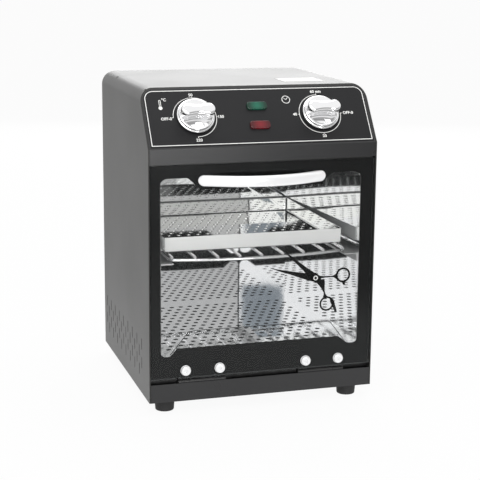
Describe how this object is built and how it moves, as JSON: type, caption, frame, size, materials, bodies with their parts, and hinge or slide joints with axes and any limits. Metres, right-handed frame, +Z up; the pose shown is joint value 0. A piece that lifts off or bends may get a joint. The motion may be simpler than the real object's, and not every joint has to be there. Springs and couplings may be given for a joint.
{
  "type": "dry heat sterilizer",
  "caption": "Benchtop dry heat sterilizer: bent steel cabinet with a sloped dial panel, a drop-down glass door, a wire rack and a shallow tray.",
  "frame": {"origin": "on the surface it stands on, under the middle of the whole object's box", "axes": "+Z up, -Y to the front where the door and the dials are, +X to the right seen from the front"},
  "size_m": [0.25, 0.2754, 0.3431],
  "materials": {
    "painted_steel": "semi-gloss",
    "front_steel": "semi-gloss",
    "polished_steel": "mirror polished",
    "shield_steel": "dull",
    "plain_steel": "satin",
    "heater_tube": "satin",
    "screw_steel": "bright",
    "hinge_black": "satin",
    "hinge_chrome": "polished",
    "handle_chrome": "polished",
    "rack_chrome": "polished",
    "tray_metal": "polished",
    "knob_plating": "chrome plated",
    "door_glass": "clear with a printed border",
    "overlay_print": "satin",
    "green_lens": "glossy",
    "red_lens": "glossy",
    "lamp_plastic": "satin",
    "rubber": "matt",
    "black_plastic": "satin",
    "device_metal": "satin",
    "bell_metal": "satin",
    "bulb_metal": "satin",
    "magnet": "satin",
    "ceramic": "matt",
    "block_plastic": "satin",
    "wire_sleeve": "matt",
    "label_paper": "satin"
  },
  "bodies": {
    "cabinet": {"base_pan": "painted_steel", "base_rail": "front_steel", "base_screws": "screw_steel", "bushing_nuts": "screw_steel", "capillary_tube": "bulb_metal", "catch_magnet": "magnet", "chamber_back_wall": "polished_steel", "chamber_ceiling": "polished_steel", "chamber_floor": "polished_steel", "chamber_left_wall": "polished_steel", "chamber_right_wall": "polished_steel", "chamber_supports": "plain_steel", "control_overlay": "overlay_print", "cord_gland": "black_plastic", "door_bumpers": "rubber", "feet": "rubber", "foot_nuts": "screw_steel", "foot_screws": "screw_steel", "front_fascia": "front_steel", "front_frame": "polished_steel", "heater_clips": "plain_steel", "heater_insulators": "ceramic", "hinge_mount_screws": "screw_steel", "hinge_mounts": "plain_steel", "hinge_pins": "screw_steel", "lamp_bodies": "lamp_plastic", "lower_heater": "heater_tube", "lower_shield": "shield_steel", "outer_wrap": "painted_steel", "power_lamp_lens": "red_lens", "rear_panel": "painted_steel", "rear_screws": "screw_steel", "run_lamp_lens": "green_lens", "shelf_runners": "plain_steel", "terminal_block": "block_plastic", "thermal_fuse": "ceramic", "thermostat_body": "device_metal", "thermostat_bulb": "bulb_metal", "timer_bell": "bell_metal", "timer_body": "device_metal", "top_label": "label_paper", "upper_heater": "heater_tube", "upper_shield": "shield_steel", "wiring": "wire_sleeve"},
    "door": {"door_glass": "door_glass", "door_handle": "handle_chrome", "handle_screws": "screw_steel", "handle_washers": "lamp_plastic", "hinge_leaf_left": "hinge_black", "hinge_leaf_right": "hinge_black", "hinge_screws": "hinge_chrome", "hinge_washers": "hinge_chrome", "catch_plate": "plain_steel"},
    "temperature_dial": {"temperature_knob": "knob_plating", "thermostat_shaft": "plain_steel"},
    "timer_dial": {"timer_knob": "knob_plating", "timer_shaft": "plain_steel"},
    "rack": {"wire_rack": "rack_chrome"},
    "tray": {"tray": "tray_metal"}
  },
  "joints": [
    {"name": "door_hinge", "type": "hinge", "parent": "cabinet", "child": "door", "pos_m": [0, -0.11025, 0.0342], "axis": [1, 0, 0], "range_deg": [0, 90]},
    {"name": "temperature_knob_turn", "type": "hinge", "parent": "cabinet", "child": "temperature_dial", "pos_m": [-0.07, -0.0927, 0.31351], "axis": [0, -0.8047, 0.5936], "range_deg": [-90, 180]},
    {"name": "timer_knob_turn", "type": "hinge", "parent": "cabinet", "child": "timer_dial", "pos_m": [0.0672, -0.0927, 0.31351], "axis": [0, -0.8047, 0.5936], "range_deg": [-270, 0]},
    {"name": "rack_slide", "type": "slide", "parent": "cabinet", "child": "rack", "axis": [0, -1, 0], "range_m": [0, 0.11]},
    {"name": "tray_slide", "type": "slide", "parent": "rack", "child": "tray", "axis": [0, -1, 0], "range_m": [0, 0.04]}
  ],
  "couplings": [
    {"joint": "rack_slide", "follows": "door_hinge", "m_per_rad": 0.07},
    {"joint": "tray_slide", "follows": "door_hinge", "m_per_rad": 0.025}
  ]
}
